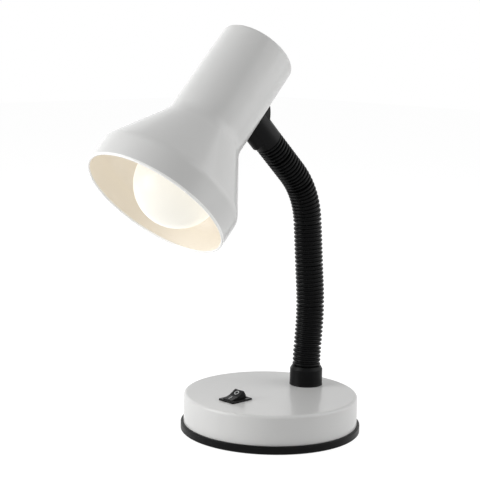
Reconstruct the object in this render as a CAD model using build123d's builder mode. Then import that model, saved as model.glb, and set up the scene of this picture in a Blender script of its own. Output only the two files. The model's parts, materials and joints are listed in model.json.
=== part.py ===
"""Table lamp with a round weighted base, a ribbed flexible neck and a spun steel shade.

Frame: +X is the way the lamp head faces, +Z is up, and the origin is the centre of the
foot pad's underside. All sizes are in millimetres. The lamp is drawn in its own plane of
symmetry, y = 0, with the neck bent as it stands and the switch on.
"""

import os
from math import atan2, cos, pi, radians, sin, sqrt, tan

from build123d import *

os.makedirs("parts", exist_ok=True)

# Base
FOOT_T = 1.5             # rubber pad under the base
FOOT_INSET = 5.7         # pad's edge inside the plate's
FOOT_PROUD = 0.7         # how far the pad stands below the plate
COVER_R = 74.0           # white steel cover
RIM_PROUD = 2.5          # black plastic plate, seen outside the cover as a rim
RIM_R = COVER_R + RIM_PROUD
FOOT_R = RIM_R - FOOT_INSET
RIM_TOP = 7.3
RIM_EDGE = 0.6
PLATE_T = 2.5
COVER_TOP = 32.2
COVER_WALL = 1.0
COVER_EDGE_R = 2.6
COVER_LIFT = 0.8         # groove's bottom above the plate's floor
GROOVE_GAP = 0.2
PLATE_LIP_T = 1.5        # upstanding ring inside the cover
PLATE_LIP_TOP = 9.2
STUD_INSET = 14.0        # three studs tie the cover to the plate
STUD_RING_R = COVER_R - STUD_INSET
STUD_COUNT = 3
STUD_R = 4.0
STUD_BORE_R = 1.5
STUD_BORE_DEPTH = 12.0
BOSS_R = 6.0
BOSS_FLOOR = 2.2         # boss above the screw's seat
HEAD_SINK = 0.3
SCREW_HEAD_R = 2.9
SCREW_HEAD_H = 2.2
SCREW_KEY_R = 1.2
SCREW_SHORT = 1.0        # ballast screws end this far above the plate
SCREW_FIT = 0.05
SCREW_POCKET_GAP = 0.4
BALLAST_GAP = 2.0        # between the weight and the screw bosses
BALLAST_R = STUD_RING_R - BOSS_R - BALLAST_GAP
BALLAST_CHAMFER = 1.0
CUT_RUN = 1.0            # how far cutting tools run past a face
BALLAST_SCREW_Y = 38.0

# Cord inlet at the back of the cover
GLAND_GAP = 0.3          # between the flange and the plate's upstanding ring
GLAND_BORE_R = 3.3
GLAND_BARREL_R = 5.0
GLAND_FLANGE_R = 6.5
GLAND_OUT = 2.0          # how far the flange stands off the cover
GLAND_IN = 3.0           # depth of the inner flange behind the cover
GLAND_BARREL_L = 6.0     # how far the barrel runs on inside the inner flange

# Rocker switch
SWITCH_INSET = 34.0      # switch centre from the cover's front
SWITCH_X = COVER_R - SWITCH_INSET
SWITCH_Y = -2.0
BEZEL_L = 22.5
BEZEL_W = 17.7
BEZEL_T = 1.5
BEZEL_CORNER_R = 1.0
BEZEL_CHAMFER = 0.4
BEZEL_END = 1.15         # bezel beyond its opening, at each end
BEZEL_SIDE = 3.5         # bezel beside the well
SWITCH_END_WALL = 0.3
SWITCH_SIDE_WALL = 1.35
SWITCH_DEPTH = 13.0
SWITCH_FIT = 0.1
SWITCH_WELL_DEPTH = 9.0
WELL_GAP = 0.95          # rocker's ends in the well
ROCKER_GAP = 0.25        # side clearance of the rocker in its housing
ROCKER_TILT = 22.5       # half of the rocker's travel, in degrees
ROCKER_PIVOT_DEPTH = 1.05
ROCKER_PIN_R = 1.2
ROCKER_PIN_L = 1.1
ROCKER_PIN_FIT = 0.05
RIDGE_GAP = 2.4          # room for the ridge in the bezel's opening
END_SLANT = 0.75         # ends stand out from the ridge
KEEL_SLANT = 2.85        # and draw in again to the keel
RIDGE_Z = 6.44           # the rocker's own shape, measured from its pivot when level
HOLLOW_Z = 5.29
END_Z = 1.4
RIDGE_FILLET = 0.4
KEEL_Z = -1.8
MARK_T = 0.12            # raised white marks
MARK_BAR = 0.75
MARK_LENGTH = 4.4
MARK_PLACE = 3.9         # distance of each mark's centre from the rocker's middle
BLADE_W = 4.8
BLADE_T = 0.8
BLADE_DROP = 5.5
BLADE_SPREAD = 5.0
BLADE_STAND = 0.8        # blade ends inside the well
BLADE_CLEAR = 1.5        # blades above the ballast

# Terminal block and inner leads
BLOCK_L = 24.0
BLOCK_W = 11.0
BLOCK_H = 8.0
BLOCK_X = -14.0
BLOCK_GAP = 3.6          # between the block and a ballast screw
BLOCK_Y = BALLAST_SCREW_Y - SCREW_HEAD_R - BLOCK_GAP - BLOCK_W / 2
BLOCK_CORNER_R = 1.0
BLOCK_HOLE_DEPTH = 2.0
BLOCK_HOLE_R = 1.6
LEAD_R = 0.9
LEAD_SPREAD = 1.2
LEAD_BEND_R = 4.0
LEAD_PITCH = 2.4         # leads beside each other at the terminal block
LEAD_TUCK = 2.0          # how far a lead starts inside a bore

# Neck
NECK_INSET = 29.8        # the neck rises behind the base's centre, inside the cover's edge
NECK_X = NECK_INSET - COVER_R
HOSE_R = 12.0            # crest of the hose's ribs
RIB_DEPTH = 1.6
HOSE_WALL = 1.5
HOSE_VALLEY_R = HOSE_R - RIB_DEPTH
HOSE_BORE_R = HOSE_VALLEY_R - HOSE_WALL
COLLAR_H = 16.7          # lower collar, cover to hose
COLLAR_WALL = 2.15       # collar beyond the ribs
COLLAR_FLARE = 0.25
COLLAR_LIP = 0.6         # collar beyond the ribs where it meets them
COLLAR_R = HOSE_R + COLLAR_WALL
COLLAR_FOOT_H = 2.0
COLLAR_SHOULDER_H = 2.7
COLLAR_FLOOR = 5.0
COLLAR_FIT = 0.15        # hose tail in its collars
RIB_PITCH = 3.64
RIB_TOP = 0.9
RIB_FOOT = 1.7
RIBS_PER_SEGMENT = 5
SEGMENTS = 12            # lengths of hose, with a joint between each two
LEAN_L = 16.0            # the neck's arcs, from its foot up
LEAN_RUN_L = 16.0
SWEEP_L = 40.0
STRAIGHTER_L = 36.0
EASE_L = 22.0
NOD_L = 47.0
NECK_BENDS = [           # tangent arcs of the neck: length, and turn towards +X in degrees
    (LEAN_L, -5.0),
    (LEAN_RUN_L, 0.0),
    (SWEEP_L, 10.9),
    (STRAIGHTER_L, -1.2),
    (EASE_L, 1.8),
    (NOD_L, 40.5),
]
LIP_GAP = 0.2            # thin lip of each hose length inside the next one's bore
LIP_WALL = 1.5
LIP_R = HOSE_BORE_R - LIP_GAP
LIP_BORE_R = LIP_R - LIP_WALL
LIP_ROOT_LAP = 0.5       # lip's root inside the hose's own wall
LIP_ROOT_L = 4.0
LIP_REACH = 2.2
CORE_FIT = 0.05
SOCKET_SIDE = 2.0        # socket's wall and gap beside its ball
BALL_R = LIP_BORE_R - SOCKET_SIDE
NECKING = 1.2            # ball beyond the stem
CORE_WALL = 1.4
CORE_R = BALL_R - NECKING   # steel core of the neck
CORE_BORE_R = CORE_R - CORE_WALL
CORE_STEPS = 3           # straight parts of a stem
SOCKET_GAP = 0.3
SOCKET_REACH = 2.0
SOCKET_CONE = 3.0
CORE_LAP = 0.5
SOCKET_WALL = 2.0
THREAD_R = 5.0           # threaded ends of the core
THREAD_FIT = 0.1
NUT_FLATS = 14.0
NUT_T = 4.0
THREAD_SPARE = 1.0       # thread beyond each nut
SHOULDER_LAP = 0.7       # the hose stands on the core's shoulder
SHOULDER_T = 2.5

# Upper collar
NECK_COLLAR_L = 27.4     # hose end to the shade's skin, along the neck
NECK_COLLAR_LIP = 0.1
NECK_COLLAR_FLARE = 0.3
FLANGE_HALF_L = 19.0     # oval flange, along the shade
FLANGE_HALF_W = 10.4
FLANGE_SHIFT = 4.0       # flange's middle above the neck's line
FLANGE_T = 13.6          # outer face from the shade's skin, on the neck's line
FLANGE_LEAN = 29.0       # outer face leans, thicker towards the mouth
FLANGE_LAP = 5.0         # flange cut to the shade's curve, from within it
SADDLE_R = 11.0
SADDLE_T = 3.2

# Shade
SHADE_MOUTH_R = 60.8
SHADE_BAND_R = 61.4
SHADE_BAND_L = 22.3
SHADE_WAIST_R = 32.9
SHADE_WAIST = 72.8       # where the cone meets the shade's neck, from the mouth
SHADE_TOP_R = 32.4
SHADE_L = 160.0
SHADE_WALL = 0.8
SHADE_BAND_FILLET = 14.0
SHADE_WAIST_FILLET = 24.0
SHADE_TOP_FILLET = 2.5
HEM_R = 0.9
NECK_DROP = 43.9         # where the neck's line meets the shade's axis, from the shade's top
NECK_MEETS = SHADE_L - NECK_DROP

# Lampholder
HOLDER_TILT = 4.5        # the holder hangs a little towards the neck
HOLDER_DROP = 32.0       # bracket face on the shade's axis, from the shade's top
HOLDER_PIVOT = SHADE_L - HOLDER_DROP
BRACKET_T = 1.5
BRACKET_W = 16.0
BRACKET_TAIL = 12.0
BRACKET_END = 10.0
BRACKET_BEND_R = 2.5
LEAD_HOLE_R = 3.2
LEAD_STEP = 4.65         # leads rise this far inside the core's end
LEAD_LOOP = 18.0
NIPPLE_BORE_R = 3.2
NIPPLE_END = -7.0
NIPPLE_TOP = 8.0
DOME_TOP_R = 9.0
DOME_L = 24.0
DOME_WALL = 1.8
INSERT_RISE = 4.0        # insert inside the dome
INSERT_STEP = 2.0
INSERT_T = 6.0           # insert below the dome
CONTACT_R = 1.6
CONTACT_LEAF_R = 4.0
CONTACT_LEAF_T = 1.0
CONTACT_STAND = 2.0
CONTACT_L = 4.2          # insert to the bulb's tip
CONTACT_GAP = 0.2
SHELL_HOLE_R = 9.0
SHELL_FIT = 0.25         # bulb's cap in the threaded shell
SHELL_WALL = 0.55
SHELL_SHORT = 3.0        # shell's end inside the skirt
SKIRT_GAP = 0.5
SKIRT_LAP = 2.6          # insert's edge beyond the shell
SKIRT_WALL = 4.0
SKIRT_STEP = 1.2         # skirt beyond the dome
SKIRT_CHAMFER = 1.0

# Bulb
GLOBE_R = 35.0
GLOBE_WALL = 1.2
BULB_GAP = 2.0           # between the bulb's collar and the skirt
BULB_COLLAR_WALL = 1.6
BULB_COLLAR_L = 15.0
BULB_COLLAR_END_R = 21.0
CAP_R = 13.1
CAP_PITCH = 3.63
CAP_TURNS = 5
CAP_DEPTH = 0.7          # depth of the cap's thread
CAP_WALL = 0.4
CAP_LAND = 1.0
CAP_CROWN = 1.85         # cap above its thread, to the land
TIP_R = 4.6
TIP_H = 2.8
TIP_BEVEL_R = 1.0
TIP_BEVEL_H = 0.5
TIP_LAND_R = 10.0


def neck_at(s):
    """Place on the neck's centre line, s from the lower collar: x, z, heading from vertical."""
    x, z, heading = NECK_X, COVER_TOP + COLLAR_H, 0.0
    if s < 0:
        return x, z + s, heading
    for length, turn in NECK_BENDS:
        step = min(s, length)
        after = heading + radians(turn) * step / length
        if turn:
            bend_r = length / radians(turn)
            x += bend_r * (cos(heading) - cos(after))
            z += bend_r * (sin(after) - sin(heading))
        else:
            x += step * sin(heading)
            z += step * cos(heading)
        heading = after
        s -= step
        if s <= 0:
            return x, z, heading
    return x + s * sin(heading), z + s * cos(heading), heading


def side_plane(x, z, heading):
    """Plane of symmetry with its origin at x, z and its local y along the heading."""
    return Plane(origin=(x, 0, z), x_dir=(cos(heading), 0, -sin(heading)), z_dir=(0, -1, 0))


def neck_side(s):
    return side_plane(*neck_at(s))


def neck_cross(s):
    """Plane square to the neck, with a steady X axis."""
    x, z, heading = neck_at(s)
    return Plane(origin=(x, 0, z), x_dir=(0, 1, 0), z_dir=(sin(heading), 0, cos(heading)))


def own_axis(plane):
    """The line along a side plane's local y."""
    return Axis(plane.origin, plane.y_dir)


def in_plane(plane, x, y):
    """A point of a side plane, as x and z of the lamp."""
    point = plane.from_local_coords((x, y, 0))
    return point.X, point.Z


def on_circle(radius, angle):
    return radius * cos(radians(angle)), radius * sin(radians(angle))


def finish(piece, name):
    piece.part.label = name
    export_step(piece.part, "parts/" + name + ".step")


def turned(plane, outline):
    """A turned piece: a closed outline of radius and height, spun about the plane's y."""
    with BuildPart() as piece:
        with BuildSketch(plane):
            with BuildLine():
                Polyline(*outline, close=True)
            make_face()
        revolve(axis=own_axis(plane))
    return piece


SEGMENT_L = RIBS_PER_SEGMENT * RIB_PITCH
HOSE_L = SEGMENTS * SEGMENT_L
HALF_GAP = (RIB_PITCH - RIB_FOOT) / 2
HOSE_TAIL = COLLAR_H - COLLAR_FLOOR - SHOULDER_T   # plain end of the hose in each collar

base_axis = side_plane(0, 0, 0)
neck_foot = side_plane(NECK_X, 0, 0)
neck_end = neck_side(HOSE_L + NECK_COLLAR_L)
HEAD_HEADING = neck_at(HOSE_L)[2] - pi / 2

# The shade is a little conical above its waist, so its radius is taken where the neck meets it
shade_taper = (SHADE_WAIST_R - SHADE_TOP_R) / (SHADE_L - SHADE_WAIST)
SHADE_R_AT_NECK = SHADE_WAIST_R - shade_taper * (NECK_MEETS - SHADE_WAIST)
mouth_x, mouth_z = in_plane(neck_end, NECK_MEETS, SHADE_R_AT_NECK)
head = side_plane(mouth_x, mouth_z, HEAD_HEADING)
holder = side_plane(*in_plane(head, 0, HOLDER_PIVOT), HEAD_HEADING + radians(HOLDER_TILT))

PAD_SEAT = FOOT_T
PLATE_BOTTOM = FOOT_PROUD
PLATE_TOP = FOOT_PROUD + PLATE_T
COVER_SEAT = PLATE_TOP + COVER_LIFT
COVER_UNDER = COVER_TOP - COVER_WALL
SCREW_SEAT = PAD_SEAT + HEAD_SINK + SCREW_HEAD_H
BOSS_TOP = SCREW_SEAT + BOSS_FLOOR
BALLAST_TOP = COVER_TOP - SWITCH_DEPTH - BLADE_DROP - BLADE_CLEAR
BALLAST_T = BALLAST_TOP - PLATE_TOP
GLAND_Z = PLATE_LIP_TOP + GLAND_GAP + GLAND_FLANGE_R

# Switch, its well and rocker worked out from the bezel
BEZEL_OPENING_L = BEZEL_L - 2 * BEZEL_END
RIDGE_X = BEZEL_OPENING_L / 2 - RIDGE_GAP
END_X = RIDGE_X + END_SLANT
KEEL_X = END_X - KEEL_SLANT
SWITCH_WELL_L = 2 * (END_X + WELL_GAP)
SWITCH_BODY_L = SWITCH_WELL_L + 2 * SWITCH_END_WALL
WELL_W = BEZEL_W - 2 * BEZEL_SIDE
ROCKER_W = WELL_W - 2 * ROCKER_GAP
SWITCH_BODY_W = WELL_W + 2 * SWITCH_SIDE_WALL

stud_places = PolarLocations(STUD_RING_R, STUD_COUNT)
STUD_PLACES = [location.position for location in stud_places.locations]
BALLAST_SCREWS = [(0, BALLAST_SCREW_Y), (0, -BALLAST_SCREW_Y)]
SCREW_R = STUD_BORE_R - SCREW_FIT


# Foot pad
with BuildPart() as foot_pad:
    with BuildSketch():
        Circle(FOOT_R)
        with PolarLocations(STUD_RING_R, STUD_COUNT):
            Circle(SCREW_HEAD_R + 2 * SCREW_POCKET_GAP, mode=Mode.SUBTRACT)
    extrude(amount=FOOT_T)
finish(foot_pad, "foot_pad")

# Base plate: a shallow tray with a rim, a groove for the cover and screw bosses
groove_out = COVER_R + GROOVE_GAP
groove_in = COVER_R - COVER_WALL - GROOVE_GAP
lip_in = groove_in - PLATE_LIP_T
with BuildPart() as base_plate:
    with BuildSketch(base_axis):
        with BuildLine():
            Polyline(
                (0, PAD_SEAT), (FOOT_R + GROOVE_GAP, PAD_SEAT), (FOOT_R + GROOVE_GAP, PLATE_BOTTOM),
                (RIM_R - RIM_EDGE, PLATE_BOTTOM), (RIM_R, PLATE_BOTTOM + RIM_EDGE),
                (RIM_R, RIM_TOP - RIM_EDGE), (RIM_R - RIM_EDGE, RIM_TOP), (groove_out, RIM_TOP),
                (groove_out, COVER_SEAT), (groove_in, COVER_SEAT), (groove_in, PLATE_LIP_TOP),
                (lip_in, PLATE_LIP_TOP), (lip_in, PLATE_TOP), (0, PLATE_TOP), close=True,
            )
        make_face()
    revolve(axis=Axis.Z)
    with BuildSketch(Plane.XY.offset(PLATE_TOP)):
        with PolarLocations(STUD_RING_R, STUD_COUNT):
            Circle(BOSS_R)
    extrude(amount=BOSS_TOP - PLATE_TOP)
    with BuildSketch(Plane.XY.offset(PLATE_TOP)):
        with Locations(*BALLAST_SCREWS):
            Circle(STUD_R)
    extrude(amount=BALLAST_T)
    with BuildSketch(Plane.XY.offset(PAD_SEAT)):
        with PolarLocations(STUD_RING_R, STUD_COUNT):
            Circle(SCREW_HEAD_R + SCREW_POCKET_GAP)
    extrude(amount=SCREW_SEAT - PAD_SEAT, mode=Mode.SUBTRACT)
    with BuildSketch(Plane.XY.offset(PAD_SEAT)):
        with PolarLocations(STUD_RING_R, STUD_COUNT):
            Circle(STUD_BORE_R + 2 * SCREW_FIT)
    extrude(amount=BOSS_TOP - PAD_SEAT, mode=Mode.SUBTRACT)
    with BuildSketch(Plane.XY.offset(PLATE_TOP)):
        with Locations(*BALLAST_SCREWS):
            Circle(STUD_BORE_R)
    extrude(amount=BALLAST_T, mode=Mode.SUBTRACT)
finish(base_plate, "base_plate")

# Ballast weight
with BuildPart() as ballast_weight:
    with BuildSketch(Plane.XY.offset(PLATE_TOP)):
        Circle(BALLAST_R)
        with Locations(*BALLAST_SCREWS):
            Circle(STUD_R + GROOVE_GAP, mode=Mode.SUBTRACT)
    extrude(amount=BALLAST_T)
    chamfer(ballast_weight.edges().filter_by(GeomType.CIRCLE).sort_by(SortBy.RADIUS)[-2:], BALLAST_CHAMFER)
finish(ballast_weight, "ballast_weight")


def pan_screws(places, seat, length, up):
    """Pan head screws on one face, with the shank going up or down."""
    way = 1 if up else -1
    with BuildPart() as screws:
        for x, y in places:
            with BuildSketch(Plane((x, y, seat), z_dir=(0, 0, -way))):
                Circle(SCREW_HEAD_R)
                RegularPolygon(SCREW_KEY_R, 6, mode=Mode.SUBTRACT)
            extrude(amount=SCREW_HEAD_H)
            with BuildSketch(Plane((x, y, seat), z_dir=(0, 0, way))):
                Circle(SCREW_R)
            extrude(amount=length)
            with BuildSketch(Plane((x, y, seat), z_dir=(0, 0, -way))):
                Circle(SCREW_R)
            extrude(amount=SCREW_HEAD_H / 2)
    return screws


base_screws = pan_screws([(p.X, p.Y) for p in STUD_PLACES], SCREW_SEAT, STUD_BORE_DEPTH, True)
finish(base_screws, "base_screws")
ballast_screws = pan_screws(BALLAST_SCREWS, BALLAST_TOP, BALLAST_T - SCREW_SHORT, False)
finish(ballast_screws, "ballast_screws")

# Studs between the plate's bosses and the cover's top
with BuildPart() as cover_studs:
    with BuildSketch(Plane.XY.offset(BOSS_TOP)):
        with PolarLocations(STUD_RING_R, STUD_COUNT):
            Circle(STUD_R)
    extrude(amount=COVER_UNDER - BOSS_TOP)
    with BuildSketch(Plane.XY.offset(BOSS_TOP)):
        with PolarLocations(STUD_RING_R, STUD_COUNT):
            Circle(STUD_BORE_R)
    extrude(amount=STUD_BORE_DEPTH, mode=Mode.SUBTRACT)
finish(cover_studs, "cover_studs")

# Cover: a pressed steel drum, open below
with BuildPart() as base_cover:
    with BuildSketch(base_axis) as drum:
        with BuildLine():
            Polyline(
                (0, COVER_SEAT), (COVER_R, COVER_SEAT), (COVER_R, COVER_TOP),
                (0, COVER_TOP), close=True,
            )
        make_face()
        fillet(drum.vertices().sort_by_distance((COVER_R, COVER_TOP))[0], COVER_EDGE_R)
    revolve(axis=Axis.Z)
    with BuildSketch(base_axis) as hollow:
        with BuildLine():
            Polyline(
                (0, COVER_SEAT), (COVER_R - COVER_WALL, COVER_SEAT),
                (COVER_R - COVER_WALL, COVER_UNDER), (0, COVER_UNDER), close=True,
            )
        make_face()
        inner_edge = hollow.vertices().sort_by_distance((COVER_R - COVER_WALL, COVER_UNDER))[0]
        fillet(inner_edge, COVER_EDGE_R - COVER_WALL)
    revolve(axis=Axis.Z, mode=Mode.SUBTRACT)
    with BuildSketch(Plane.XY.offset(COVER_UNDER)):
        with Locations((NECK_X, 0)):
            Circle(THREAD_R + THREAD_FIT)
        with Locations((SWITCH_X, SWITCH_Y)):
            Rectangle(SWITCH_BODY_L + 2 * SWITCH_FIT, SWITCH_BODY_W + 2 * SWITCH_FIT)
    extrude(amount=COVER_WALL, mode=Mode.SUBTRACT)
    with BuildSketch(Plane.YZ.offset(-COVER_R - CUT_RUN)):
        with Locations((0, GLAND_Z)):
            Circle(GLAND_BARREL_R)
    extrude(amount=COVER_WALL + 2 * CUT_RUN, mode=Mode.SUBTRACT)
finish(base_cover, "base_cover")

# Cord inlet bush, clipped through the cover's back
with BuildPart() as cord_gland:
    with BuildSketch(Plane.YZ.offset(-COVER_R - GLAND_OUT)):
        with Locations((0, GLAND_Z)):
            Circle(GLAND_FLANGE_R)
    extrude(amount=GLAND_OUT + COVER_WALL + GLAND_IN)
    with BuildSketch(Plane.XY.offset(GLAND_Z - GLAND_FLANGE_R - CUT_RUN)):
        Circle(COVER_R)
        Circle(COVER_R - COVER_WALL, mode=Mode.SUBTRACT)
    extrude(amount=2 * (GLAND_FLANGE_R + CUT_RUN), mode=Mode.SUBTRACT)
    with BuildSketch(Plane.YZ.offset(-COVER_R - GLAND_OUT)):
        with Locations((0, GLAND_Z)):
            Circle(GLAND_BARREL_R)
    extrude(amount=GLAND_OUT + COVER_WALL + GLAND_IN + GLAND_BARREL_L)
    with BuildSketch(Plane.YZ.offset(-COVER_R - GLAND_OUT)):
        with Locations((0, GLAND_Z)):
            Circle(GLAND_BORE_R)
    extrude(amount=GLAND_OUT + COVER_WALL + GLAND_IN + GLAND_BARREL_L, mode=Mode.SUBTRACT)
finish(cord_gland, "cord_gland")

# Switch housing
PIVOT_Z = COVER_TOP - ROCKER_PIVOT_DEPTH
bezel_seat = Plane((SWITCH_X, SWITCH_Y, COVER_TOP))
below_bezel = Plane((SWITCH_X, SWITCH_Y, COVER_TOP), z_dir=(0, 0, -1))
well_floor = Plane((SWITCH_X, SWITCH_Y, COVER_TOP - SWITCH_WELL_DEPTH), z_dir=(0, 0, -1))
blade_places = [(BLADE_SPREAD, 0), (-BLADE_SPREAD, 0)]
with BuildPart() as switch_housing:
    with BuildSketch(bezel_seat):
        RectangleRounded(BEZEL_L, BEZEL_W, BEZEL_CORNER_R)
    extrude(amount=BEZEL_T)
    chamfer(switch_housing.faces().sort_by(Axis.Z)[-1].edges(), BEZEL_CHAMFER)
    with BuildSketch(below_bezel):
        Rectangle(SWITCH_BODY_L, SWITCH_BODY_W)
    extrude(amount=SWITCH_DEPTH)
    with BuildSketch(bezel_seat):
        Rectangle(BEZEL_OPENING_L, WELL_W)
    extrude(amount=BEZEL_T, mode=Mode.SUBTRACT)
    with BuildSketch(below_bezel):
        Rectangle(SWITCH_WELL_L, WELL_W)
    extrude(amount=SWITCH_WELL_DEPTH, mode=Mode.SUBTRACT)
    with BuildSketch(Plane.XZ.offset(-SWITCH_Y)):
        with Locations((SWITCH_X, PIVOT_Z)):
            Circle(ROCKER_PIN_R + ROCKER_PIN_FIT)
    extrude(amount=ROCKER_W / 2 + ROCKER_PIN_L + ROCKER_GAP, both=True, mode=Mode.SUBTRACT)
    with BuildSketch(well_floor):
        with Locations(*blade_places):
            Rectangle(BLADE_T, BLADE_W)
    extrude(amount=SWITCH_DEPTH - SWITCH_WELL_DEPTH, mode=Mode.SUBTRACT)
finish(switch_housing, "switch_housing")

# Switch blades, from inside the well to below the housing
BLADE_L = BLADE_STAND + SWITCH_DEPTH - SWITCH_WELL_DEPTH + BLADE_DROP
with BuildPart() as switch_terminals:
    with BuildSketch(well_floor.offset(-BLADE_STAND)):
        with Locations(*blade_places):
            Rectangle(BLADE_T, BLADE_W)
    extrude(amount=BLADE_L)
finish(switch_terminals, "switch_terminals")

# Rocker, drawn level about its pivot and tipped to its on side
rocker_plane = Plane(
    origin=(SWITCH_X, SWITCH_Y, PIVOT_Z),
    x_dir=(cos(radians(ROCKER_TILT)), 0, -sin(radians(ROCKER_TILT))),
    z_dir=(0, -1, 0),
)
with BuildPart() as switch_rocker:
    with BuildSketch(rocker_plane) as rocker_side:
        with BuildLine():
            Polyline(
                (0, HOLLOW_Z), (RIDGE_X, RIDGE_Z), (END_X, END_Z), (KEEL_X, KEEL_Z),
                (-KEEL_X, KEEL_Z), (-END_X, END_Z), (-RIDGE_X, RIDGE_Z), close=True,
            )
        make_face()
        fillet(rocker_side.vertices().group_by(Axis.Y)[-1], RIDGE_FILLET)
    extrude(amount=ROCKER_W / 2, both=True)
    with BuildSketch(rocker_plane):
        Circle(ROCKER_PIN_R)
    extrude(amount=ROCKER_W / 2 + ROCKER_PIN_L, both=True)
finish(switch_rocker, "switch_rocker")


def rocker_face(side):
    """Plane on one half of the rocker's top, side 1 for on and -1 for off."""
    rise = side * atan2(RIDGE_Z - HOLLOW_Z, RIDGE_X)
    along = rocker_plane.x_dir * cos(rise) + rocker_plane.y_dir * sin(rise)
    up = rocker_plane.y_dir * cos(rise) - rocker_plane.x_dir * sin(rise)
    middle = rocker_plane.from_local_coords((0, HOLLOW_Z, 0))
    return Plane(origin=middle + along * (side * MARK_PLACE), x_dir=along, z_dir=up)


# Marks: a bar on the on side and a ring on the off side
with BuildPart() as rocker_marks:
    with BuildSketch(rocker_face(1)):
        Rectangle(MARK_LENGTH, MARK_BAR)
    extrude(amount=MARK_T)
    with BuildSketch(rocker_face(-1)):
        Circle(MARK_LENGTH / 2)
        Circle(MARK_LENGTH / 2 - MARK_BAR, mode=Mode.SUBTRACT)
    extrude(amount=MARK_T)
finish(rocker_marks, "rocker_marks")

# Terminal block on the ballast
BLOCK_TOP = BALLAST_TOP + BLOCK_H
LEAD_Z = BALLAST_TOP + BLOCK_H / 2
with BuildPart() as terminal_block:
    with BuildSketch(Plane((BLOCK_X, BLOCK_Y, BALLAST_TOP))):
        RectangleRounded(BLOCK_L, BLOCK_W, BLOCK_CORNER_R)
    extrude(amount=BLOCK_H)
    with BuildSketch(Plane((BLOCK_X, BLOCK_Y, BLOCK_TOP), z_dir=(0, 0, -1))):
        with GridLocations(BLOCK_L / 2, 2 * LEAD_PITCH, 2, 2):
            Circle(BLOCK_HOLE_R)
    extrude(amount=BLOCK_HOLE_DEPTH, mode=Mode.SUBTRACT)
finish(terminal_block, "terminal_block")


def lead(points, radii):
    """One insulated lead through points, with rounded corners."""
    with BuildPart() as wire:
        with BuildLine():
            route = FilletPolyline(*points, radius=radii)
        with BuildSketch(Plane(origin=route @ 0, z_dir=route % 0)):
            Circle(LEAD_R)
        sweep()
    return wire.part


# Leads in the base: neck to terminal block, and terminal block to switch
CORE_BOTTOM = COVER_UNDER - NUT_T - THREAD_SPARE
BLADE_EDGE_Y = SWITCH_Y + BLADE_W / 2
base_runs = []
for side in (-1, 1):
    row = BLOCK_Y + side * LEAD_PITCH
    blade_x = SWITCH_X + side * BLADE_SPREAD
    neck_x = NECK_X - side * LEAD_SPREAD
    neck_run = [
        (neck_x, 0, CORE_BOTTOM + LEAD_TUCK),
        (neck_x, 0, LEAD_Z),
        (neck_x, row, LEAD_Z),
        (BLOCK_X - BLOCK_L / 2, row, LEAD_Z),
    ]
    switch_run = [
        (BLOCK_X + BLOCK_L / 2, row, LEAD_Z),
        (blade_x, row, LEAD_Z),
        (blade_x, BLADE_EDGE_Y, LEAD_Z),
    ]
    base_runs += [lead(neck_run, LEAD_BEND_R), lead(switch_run, 2 * LEAD_BEND_R)]
with BuildPart() as base_leads:
    add(base_runs)
finish(base_leads, "base_leads")

# Lower collar on the cover
HOSE_START = COVER_TOP + COLLAR_H
tail_bore = HOSE_VALLEY_R + COLLAR_FIT
thread_hole = THREAD_R + THREAD_FIT
lower_collar = turned(neck_foot, [
    (thread_hole, COVER_TOP), (COLLAR_R + COLLAR_FLARE, COVER_TOP),
    (COLLAR_R, COVER_TOP + COLLAR_FOOT_H), (COLLAR_R, HOSE_START - COLLAR_SHOULDER_H),
    (HOSE_R + COLLAR_LIP, HOSE_START),
    (tail_bore, HOSE_START), (tail_bore, COVER_TOP + COLLAR_FLOOR),
    (thread_hole, COVER_TOP + COLLAR_FLOOR),
])
finish(lower_collar, "lower_collar")


def hex_nuts(*seats):
    """Thin hexagon nuts, each on a side plane's own axis at its height there."""
    with BuildPart() as nuts:
        for plane, height in seats:
            base = plane.from_local_coords((0, height, 0))
            with BuildSketch(Plane(origin=base, x_dir=(0, 1, 0), z_dir=plane.y_dir)):
                RegularPolygon(NUT_FLATS / 2, 6, major_radius=False)
                Circle(THREAD_R + CORE_FIT, mode=Mode.SUBTRACT)
            extrude(amount=NUT_T)
    return nuts


neck_nut = hex_nuts((neck_foot, COVER_UNDER - NUT_T))
finish(neck_nut, "neck_nut")


def neck_tube(stations):
    """Ruled loft through circles across the neck, from pairs of place and radius."""
    with BuildPart() as tube:
        for s, radius in stations:
            with BuildSketch(neck_cross(s)):
                Circle(radius)
        loft(ruled=True)
    return tube.part


def even_tube(start, stop, count, radius):
    return neck_tube([(start + (stop - start) * k / count, radius) for k in range(count + 1)])


def rib_stations(start):
    """Four circles for each rib of one length of hose."""
    stations = []
    for k in range(RIBS_PER_SEGMENT):
        middle = start + (k + 0.5) * RIB_PITCH
        stations += [
            (middle - RIB_FOOT / 2, HOSE_VALLEY_R),
            (middle - RIB_TOP / 2, HOSE_R),
            (middle + RIB_TOP / 2, HOSE_R),
            (middle + RIB_FOOT / 2, HOSE_VALLEY_R),
        ]
    return stations


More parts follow.
